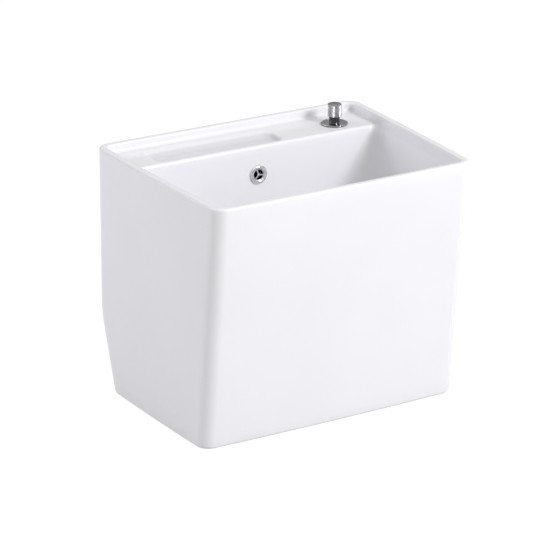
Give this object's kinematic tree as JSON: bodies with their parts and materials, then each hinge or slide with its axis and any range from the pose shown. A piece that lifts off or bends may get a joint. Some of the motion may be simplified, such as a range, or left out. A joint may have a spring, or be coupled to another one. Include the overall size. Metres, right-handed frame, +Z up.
{
  "type": "mop service sink",
  "caption": "Floor-standing glazed ceramic mop sink with a deck and soap recess, an overflow and a lift knob that works a pop-up waste through a pivoting rod.",
  "frame": {"origin": "on the floor, under the middle of the body", "axes": "+Z up, +Y back to the wall, +X to the right as seen from the front"},
  "size_m": [0.5, 0.385, 0.4387],
  "materials": {
    "ceramic": "thick glossy white glaze",
    "chrome": "polished chrome plate on brass",
    "knurled_chrome": "fine knurled chrome plate",
    "steel": "drawn stainless steel",
    "brass": "turned brass",
    "rubber": "matt black rubber",
    "nylon": "off-white nylon"
  },
  "bodies": {
    "root": {"basin": "ceramic", "overflow_ring": "chrome", "overflow_grid": "chrome", "overflow_gasket": "rubber", "escutcheon": "chrome", "escutcheon_gasket": "rubber", "guide_bush": "nylon", "deck_washer": "rubber", "deck_nut": "brass", "ball_seats": "nylon", "pivot_nut": "chrome", "drain_flange": "chrome", "flange_gasket": "rubber", "drain_body": "chrome", "cone_washer": "rubber", "slip_washer": "nylon", "back_nut": "brass", "tailpiece": "chrome"},
    "lift": {"knob": "knurled_chrome", "knob_screw": "steel", "lift_rod": "steel", "rod_strap": "brass", "strap_screw": "brass", "spring_clip": "steel"},
    "pivot": {"pivot_rod": "steel", "pivot_ball": "nylon"},
    "plug": {"plug_cap": "chrome", "plug_seal": "rubber", "plug_stem": "nylon"}
  },
  "joints": [
    {"name": "lift_slide", "type": "slide", "parent": "root", "child": "lift", "axis": [0, 0, 1], "range_m": [0, 0.05]},
    {"name": "pivot_tilt", "type": "hinge", "parent": "root", "child": "pivot", "pos_m": [0.02174, -0.01433, 0.084], "axis": [0.6891, -0.7247, 0], "range_deg": [0, 13.94]},
    {"name": "plug_slide", "type": "slide", "parent": "root", "child": "plug", "axis": [0, 0, 1], "range_m": [-0.00734, 0]}
  ],
  "couplings": [
    {"joint": "pivot_tilt", "follows": "lift_slide", "rad_per_m": 4.8617},
    {"joint": "plug_slide", "follows": "lift_slide", "ratio": -0.14657}
  ]
}
